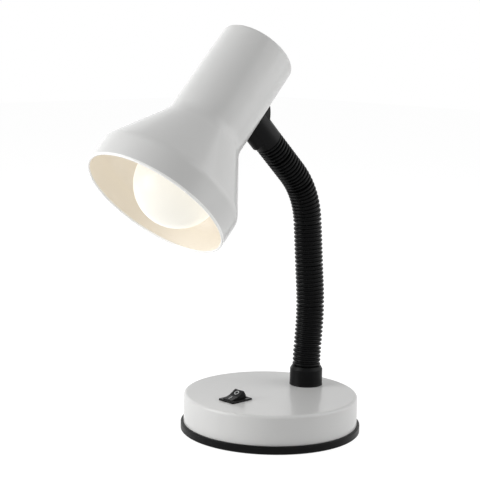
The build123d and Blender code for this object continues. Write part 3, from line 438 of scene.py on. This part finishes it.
FINISHES = {
    "white_enamel": finish_material(
        "white_enamel", (0.67, 0.67, 0.66), (0.65, 0.65, 0.645), (0.3, 0.38), 900, 0.05, coat=0.25,
        specular=0.3, coat_rough=0.04),
    "black_moulding": finish_material(
        "black_moulding", (0.0035, 0.0037, 0.004), (0.005, 0.005, 0.0052), (0.3, 0.42), 2600, 0.18,
        specular=0.075),
    "hose_black": finish_material(
        "hose_black", (0.0025, 0.0027, 0.003), (0.004, 0.004, 0.0042), (0.17, 0.26), 1800, 0.1,
        specular=0.07),
    "switch_black": finish_material(
        "switch_black", (0.003, 0.0032, 0.0034), (0.0045, 0.0045, 0.005), (0.2, 0.3), 2200, 0.08,
        specular=0.1),
    "mark_white": finish_material(
        "mark_white", (0.42, 0.43, 0.43), (0.38, 0.39, 0.39), (0.4, 0.5), 2000, 0.1),
    "pad_rubber": finish_material(
        "pad_rubber", (0.02, 0.02, 0.02), (0.03, 0.03, 0.03), (0.7, 0.85), 1500, 0.5),
    "ballast_iron": finish_material(
        "ballast_iron", (0.09, 0.09, 0.09), (0.14, 0.13, 0.13), (0.6, 0.8), 500, 0.9,
        metallic=0.6),
    "zinc_steel": finish_material(
        "zinc_steel", (0.6, 0.61, 0.63), (0.52, 0.53, 0.55), (0.25, 0.4), 1400, 0.15,
        metallic=1.0),
    "plated_brass": finish_material(
        "plated_brass", (0.7, 0.58, 0.34), (0.62, 0.5, 0.28), (0.22, 0.35), 1400, 0.12,
        metallic=1.0),
    "block_white": finish_material(
        "block_white", (0.72, 0.72, 0.69), (0.66, 0.66, 0.63), (0.4, 0.5), 1400, 0.15),
    "lead_grey": finish_material(
        "lead_grey", (0.33, 0.34, 0.36), (0.28, 0.29, 0.31), (0.4, 0.5), 2400, 0.1),
    "holder_white": finish_material(
        "holder_white", (0.74, 0.72, 0.68), (0.7, 0.68, 0.64), (0.25, 0.35), 1600, 0.1),
    "holder_ceramic": finish_material(
        "holder_ceramic", (0.78, 0.76, 0.7), (0.72, 0.7, 0.65), (0.15, 0.25), 600, 0.15, coat=0.5),
    "opal": glow(finish_material(
        "opal", (0.38, 0.372, 0.345), (0.36, 0.352, 0.33), (0.2, 0.28), 500, 0.03, specular=0.2),
        (1.0, 0.97, 0.88), OPAL_GLOW),
    "bulb_white": finish_material(
        "bulb_white", (0.78, 0.77, 0.73), (0.74, 0.73, 0.7), (0.35, 0.45), 1800, 0.12),
    "cap_aluminium": finish_material(
        "cap_aluminium", (0.74, 0.75, 0.77), (0.68, 0.69, 0.71), (0.2, 0.32), 1600, 0.12,
        metallic=1.0),
}
# Lining: its warm cream colour and glow are the bulb's light painted on white enamel.
LINING_WITH_PAINTED_LIGHT = glow(finish_material(
    "lining_painted_bulb_light", (0.72, 0.68, 0.62), (0.7, 0.66, 0.6), (0.35, 0.45), 900, 0.05, coat=0.1,
    specular=0.25),
    (1.0, 0.86, 0.64), LINING_PAINTED_BULB_LIGHT)
# Hem: its paler colour and glow are a painted highlight on the enamel.
HEM_WITH_PAINTED_HIGHLIGHT = glow(finish_material(
    "hem_painted_highlight", (0.86, 0.86, 0.85), (0.84, 0.84, 0.83), (0.2, 0.3), 900, 0.03, coat=0.3),
    (1.0, 0.99, 0.96), HEM_PAINTED_HIGHLIGHT)


def paint_nodes():
    """Gives every CAD node the finish of its slot in the record."""
    for row in frame["record"]["subparts"]:
        node = frame["nodes"][row["node"]]
        node.data.materials.clear()
        node.data.materials.append(FINISHES[row["material_slot"]])


def rib_crest(rib, low_half, high_half):
    """Place and radius of the points of one rib with a round crest, each half with its own width."""
    points = []
    for k in range(CREST_STEPS + 1):
        turn = pi * k / CREST_STEPS
        half = low_half if 2 * k < CREST_STEPS else high_half
        place = (rib + 0.5) * RIB_PITCH - half * cos(turn)
        points.append((place, HOSE_VALLEY_R + (HOSE_R - HOSE_VALLEY_R) * sin(turn)))
    return points


def hose_outline(low, high):
    """Closed outline of the hose from one joint to another.

    Its lower end has a recess, and its upper end a tongue that reaches into the next piece's recess.
    """
    first_rib, stop_rib = low * RIBS_PER_SEGMENT, high * RIBS_PER_SEGMENT
    outer = []
    for rib in range(first_rib, stop_rib):
        low_half = END_RIB_HALF if rib == first_rib and low > 0 else RIB_HALF
        high_half = END_RIB_HALF if rib == stop_rib - 1 and high < SEGMENTS else RIB_HALF
        outer += rib_crest(rib, low_half, high_half)
    if high < SEGMENTS:
        end = high * SEGMENT_L + TONGUE_L
        outer += [(outer[-1][0], TONGUE_R), (end, TONGUE_R)]
    else:
        end = HOSE_L + HOSE_TUCK
        outer.append((end, HOSE_VALLEY_R))
    if low > 0:
        start = low * SEGMENT_L + RECESS_L
        below = [(start, HOSE_BORE_R), (start, RECESS_R), (outer[0][0], RECESS_R)]
    else:
        start = -HOSE_TUCK
        below = [(start, HOSE_BORE_R)]
        outer.insert(0, (start, HOSE_VALLEY_R))
    bore = [(end, HOSE_BORE_R)]
    for rib in range(stop_rib, first_rib - 1, -1):
        if rib * RIB_PITCH > start:
            bore.append((rib * RIB_PITCH, HOSE_BORE_R))
    return outer + bore + below


def make_hose():
    """Pieces of ribbed hose that meet at the bending joints; a piece that runs across swaying joints
    stays as it is at rest and rides no body.

    The joints bend and sway in turn, the first and the last of them bending.
    """
    names = ["%02d" % k for k in range(1, SEGMENTS - 1)]
    nodes = ["base"] + names + ["head"]
    bodies = ["base"] + ["neck_" + name for name in names] + ["head"]
    cuts = [0] + list(range(1, SEGMENTS, 2)) + [SEGMENTS]
    reach = RIBS_BENDING * RIB_PITCH
    for low, high in zip(cuts, cuts[1:]):
        rings = [neck_ring(place, radius) for place, radius in hose_outline(low, high)]
        name = "ribbed_hose_" + nodes[low]
        piece = new_piece(name, ring_mesh(name, rings, closed=True))
        piece.data.materials.append(FINISHES["hose_black"])
        if high - low == 1:
            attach(piece, bodies[low])
        else:
            middle = (low + 1) * SEGMENT_L
            neck_point(middle - reach)
            neck_point(middle + reach)
            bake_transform(piece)
        for segment in range(low, high):
            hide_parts("neck_hose_" + nodes[segment])


def make_shade(head):
    """The shade's enamelled outside, its lining with the bulb's warm light painted on, and its hem
    with a painted highlight.
    """
    taper = (SHADE_BAND[0] - SHADE_MOUTH_R) / SHADE_BAND[1]
    cone = (SHADE_BAND[0] - SHADE_WAIST[0]) / (SHADE_WAIST[1] - SHADE_BAND[1])

    def drawn_in(inset):
        """The skin's corners, drawn in by inset, from above the hem to the top's middle."""
        drop = inset * (sqrt(1 + cone * cone) - 1) / cone
        return [
            (SHADE_MOUTH_R + taper * 2 * HEM_R - inset, 2 * HEM_R),
            (SHADE_BAND[0] - inset, SHADE_BAND[1] - drop),
            (SHADE_WAIST[0] - inset, SHADE_WAIST[1] - drop),
            (SHADE_TOP[0] - inset, SHADE_TOP[1] - inset), (0, SHADE_TOP[1] - inset),
        ]

    def wall(inset):
        band, waist, top = SHADE_FILLETS
        return rounded(drawn_in(inset), (band - inset, waist + inset, top - inset))

    middle = SHADE_WALL - SHADE_COAT
    hem = []
    for k in range(HEM_STEPS + 1):
        turn = radians(HEM_START + HEM_TURN * k / HEM_STEPS)
        hem.append(Vector((SHADE_MOUTH_R - HEM_R + HEM_R * cos(turn), HEM_R + HEM_R * sin(turn))))
    skin = banded(wall(0), SHADE_RUN)
    inside = banded(wall(middle), SHADE_RUN)
    lining_back = banded(wall(middle + LINING_GAP), SHADE_RUN)
    lining_face = banded(wall(SHADE_WALL), SHADE_RUN)
    shell = lathe("shade_shell", head, skin[::-1] + inside)
    lip = lathe("shade_hem", head, [skin[0]] + hem[::-1] + [inside[0]])
    lining = lathe("shade_lining", head, lining_back[::-1] + lining_face)
    end = side_frame(*neck_at(HOSE_L + NECK_COLLAR_L))
    for piece in (shell, lining):
        drill(piece, end[0], end[2], (2 * NECK_HOLE_R, 2 * NECK_HOLE_R, NECK_DRILL_DEPTH))
    for piece, finish in ((shell, FINISHES["white_enamel"]), (lining, LINING_WITH_PAINTED_LIGHT), (lip, HEM_WITH_PAINTED_HIGHLIGHT)):
        piece.data.materials.append(finish)
        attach(piece, "head")
        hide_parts("shade")


def make_cover():
    """The base's enamelled cover, with its holes for the neck, the switch and the cord's bush."""
    under = COVER_TOP - COVER_WALL
    inner_r = COVER_R - COVER_WALL
    outer = rounded([(0, COVER_TOP), (COVER_R, COVER_TOP), (COVER_R, COVER_SEAT)], [COVER_EDGE_R])
    inner = rounded(
        [(inner_r, COVER_SEAT), (inner_r, under), (0, under)], [COVER_EDGE_R - COVER_WALL])
    outline = banded(outer, COVER_RUN) + banded(inner, COVER_RUN)
    cover = lathe("cover_drum", side_frame(0, 0, 0), outline, COVER_STEPS)
    up, along = (0, 0, 1), (1, 0, 0)
    drill(cover, (NECK_X, 0, COVER_TOP), up, (2 * NECK_HOLE_R, 2 * NECK_HOLE_R, DRILL_DEPTH))
    drill(cover, (*SWITCH_PLACE, COVER_TOP), up, (*SWITCH_HOLE, DRILL_DEPTH), square=True)
    drill(cover, (GLAND_PLACE[0], 0, GLAND_PLACE[1]), along,
          (2 * GLAND_HOLE_R, 2 * GLAND_HOLE_R, GLAND_DRILL_DEPTH))
    cover.data.materials.append(FINISHES["white_enamel"])
    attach(cover, "base")
    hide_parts("base_cover")


def make_globe(holder):
    """The bulb's opal globe, open where it sits in its collar."""
    outline = []
    for radius in (GLOBE_R, GLOBE_R - GLOBE_WALL):
        end_r = GLOBE_END_R - (GLOBE_R - radius)
        start = acos(end_r / radius)
        arc = []
        for k in range(GLOBE_STEPS + 1):
            turn = start - (start + pi / 2) * k / GLOBE_STEPS
            arc.append(Vector((max(0.0, radius * cos(turn)), radius * sin(turn) - GLOBE_DOWN)))
        outline.append(arc)
    globe = lathe("opal_globe", holder, outline[0][::-1] + outline[1])
    globe.data.materials.append(FINISHES["opal"])
    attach(globe, "bulb")
    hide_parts("bulb_globe")


def make_camera():
    """The photograph's camera."""
    data = bpy.data.cameras.new("camera")
    data.lens = CAMERA_LENS
    data.clip_start, data.clip_end = CAMERA_CLIP
    camera = new_piece("camera", data)
    look = Vector(CAMERA_LOOK).normalized()
    side = look.cross(Vector((0, 0, 1))).normalized()
    up = side.cross(look)
    roll = radians(CAMERA_ROLL)
    right = side * cos(roll) + up * sin(roll)
    top = right.cross(look)
    turn = Matrix((right, top, -look)).transposed().to_4x4()
    camera.matrix_world = Matrix.Translation(Vector(CAMERA_AT) * MM) @ turn
    bpy.context.scene.camera = camera


def share_of(nodes, links, path, names):
    """1 for the kinds of ray named, and 0 for the rest."""
    total = path.outputs[names[0]]
    for name in names[1:]:
        either = nodes.new("ShaderNodeMath")
        either.operation = "MAXIMUM"
        links.new(total, either.inputs[0])
        links.new(path.outputs[name], either.inputs[1])
        total = either.outputs["Value"]
    return total


def make_floor():
    """A pale floor that the camera sees as white, with the object's soft shadow on it."""
    half = FLOOR_HALF
    mesh = bpy.data.meshes.new("floor")
    corners = [(-half, -half, 0), (half, -half, 0), (half, half, 0), (-half, half, 0)]
    mesh.from_pydata(corners, [], [(0, 1, 2, 3)])
    floor = new_piece("floor", mesh)
    material, nodes, links, shader = start_material("floor_white")
    path = nodes.new("ShaderNodeLightPath")
    seen = share_of(nodes, links, path, SEEN_RAYS)
    mix = nodes.new("ShaderNodeMix")
    mix.data_type = "RGBA"
    mix.inputs["A"].default_value = (FLOOR_COLOUR, FLOOR_COLOUR, FLOOR_COLOUR, 1)
    mix.inputs["B"].default_value = (FLOOR_SEEN, FLOOR_SEEN, FLOOR_SEEN, 1)
    links.new(seen, mix.inputs["Factor"])
    links.new(mix.outputs["Result"], shader.inputs["Base Color"])
    shader.inputs["Roughness"].default_value = FLOOR_ROUGH
    shader.inputs["Specular IOR Level"].default_value = 0.0
    shader.inputs["Emission Color"].default_value = (1, 1, 1, 1)
    lift = nodes.new("ShaderNodeMath")
    lift.operation = "MULTIPLY"
    lift.inputs[1].default_value = FLOOR_LIFT
    links.new(seen, lift.inputs[0])
    links.new(lift.outputs["Value"], shader.inputs["Emission Strength"])
    mesh.materials.append(material)


def make_world():
    """White where the camera and reflections look, and a soft fill for the rest."""
    world = bpy.data.worlds.new("studio")
    bpy.context.scene.world = world
    world.use_nodes = True
    nodes, links = world.node_tree.nodes, world.node_tree.links
    back = nodes["Background"]
    back.inputs["Color"].default_value = (1, 1, 1, 1)
    path = nodes.new("ShaderNodeLightPath")
    seen = share_of(nodes, links, path, SEEN_RAYS)
    strength = nodes.new("ShaderNodeMapRange")
    strength.inputs["To Min"].default_value = WORLD_FILL
    strength.inputs["To Max"].default_value = 1.0
    links.new(seen, strength.inputs["Value"])
    links.new(strength.outputs["Result"], back.inputs["Strength"])


def make_lights():
    """Softboxes, all aimed at the lamp's middle."""
    for name, (place, power) in SOFTBOXES.items():
        data = bpy.data.lights.new(name, "AREA")
        data.shape = "RECTANGLE"
        data.size, data.size_y = SOFTBOX_SIZE
        data.energy = power
        lamp = new_piece(name, data)
        lamp.location = place
        lamp.rotation_mode = "QUATERNION"
        lamp.rotation_quaternion = (Vector(LAMP_MIDDLE) - Vector(place)).to_track_quat("-Z", "Y")


head = head_frame()
paint_nodes()
make_camera()
make_hose()
make_shade(head)
make_cover()
make_globe(holder_frame(head))
make_floor()
make_world()
make_lights()
bpy.context.scene.view_settings.view_transform = "Standard"
